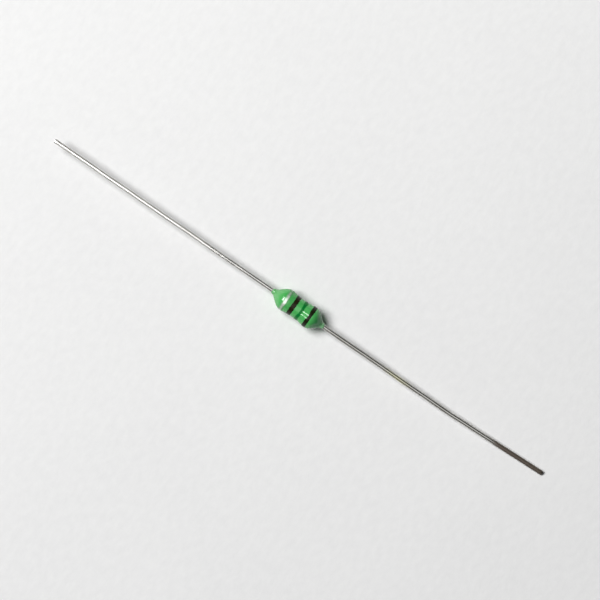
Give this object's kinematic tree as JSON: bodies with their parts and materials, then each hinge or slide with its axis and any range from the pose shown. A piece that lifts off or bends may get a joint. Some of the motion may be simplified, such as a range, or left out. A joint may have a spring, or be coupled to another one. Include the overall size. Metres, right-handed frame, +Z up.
{
  "type": "axial inductor",
  "caption": "Small axial leaded inductor: a coil on a ferrite drum core in a dog-bone green epoxy coat with painted colour bands and a straight tinned wire lead at each end.",
  "frame": {"origin": "on the surface that the inductor lies on, below the middle of its body", "axes": "+X along the body's axis towards the end with the first-digit band, +Y towards the side that the right lead's kink turns to, +Z up"},
  "size_m": [0.063, 0.0026, 0.0026],
  "materials": {
    "ferrite": "matt black nickel-zinc ferrite",
    "enamelled_copper": "glossy clear enamel over copper",
    "tinned_copper": "drawn wire with a thin bright tin plating, dulled in places",
    "adhesive": "cured amber epoxy adhesive",
    "solder": "satin tin solder",
    "green_epoxy": "glossy dipped epoxy",
    "silver_paint": "satin paint with fine metal flakes",
    "dark_brown_paint": "glossy paint",
    "dark_green_paint": "thin glossy paint"
  },
  "bodies": {
    "root": {"ferrite_core": "ferrite", "coil_winding": "enamelled_copper", "lead_left": "tinned_copper", "lead_right": "tinned_copper", "adhesive_left": "adhesive", "adhesive_right": "adhesive", "solder_left": "solder", "solder_right": "solder", "epoxy_coat": "green_epoxy", "band_tolerance": "silver_paint", "band_multiplier": "dark_brown_paint", "band_second_digit": "dark_green_paint", "band_first_digit": "dark_brown_paint"}
  },
  "joints": []
}
